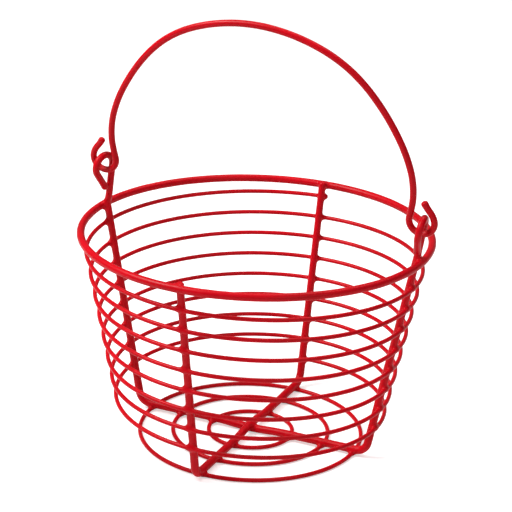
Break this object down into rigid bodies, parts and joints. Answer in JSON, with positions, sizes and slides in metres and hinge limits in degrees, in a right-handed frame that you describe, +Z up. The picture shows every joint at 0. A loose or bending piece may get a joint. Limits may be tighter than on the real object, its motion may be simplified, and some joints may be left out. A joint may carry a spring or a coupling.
{
  "type": "wire carrying basket",
  "caption": "Round plastic-dipped welded wire hand basket with a spiral wire side, wire base rings and a swinging bail handle hooked through eyes.",
  "frame": {"origin": "on the floor, at the centre of the base rings, under the middle of the basket", "axes": "+Z up, X through the two bail eyes with the lower eye at +X, -Y the side towards which both eyes are curled and the bail leans"},
  "size_m": [0.2676, 0.2556, 0.3168],
  "materials": {
    "dip_plastic": "red plastisol dip coat, smooth, satin gloss",
    "bail_plastic": "red plastisol dip coat, smooth, satin gloss",
    "wire_steel": "bright drawn low-carbon steel wire",
    "weld_steel": "resistance weld nuggets, slightly darkened"
  },
  "bodies": {
    "basket": {"rim_core": "wire_steel", "rim_coating": "dip_plastic", "bail_frame_core": "wire_steel", "bail_frame_coating": "dip_plastic", "cross_frame_core": "wire_steel", "cross_frame_coating": "dip_plastic", "side_spiral_core": "wire_steel", "side_spiral_coating": "dip_plastic", "base_ring_outer_core": "wire_steel", "base_ring_outer_coating": "dip_plastic", "base_ring_middle_core": "wire_steel", "base_ring_middle_coating": "dip_plastic", "base_ring_inner_core": "wire_steel", "base_ring_inner_coating": "dip_plastic", "rim_welds": "weld_steel", "spiral_welds": "weld_steel", "base_welds": "weld_steel"},
    "bail": {"bail_core": "wire_steel", "bail_coating": "bail_plastic"}
  },
  "joints": [
    {"name": "bail_swing", "type": "hinge", "parent": "basket", "child": "bail", "pos_m": [0.00386, -0.0081, 0.1839], "axis": [0.9996, 0, -0.027], "range_deg": [-104.8, 87.2]}
  ]
}
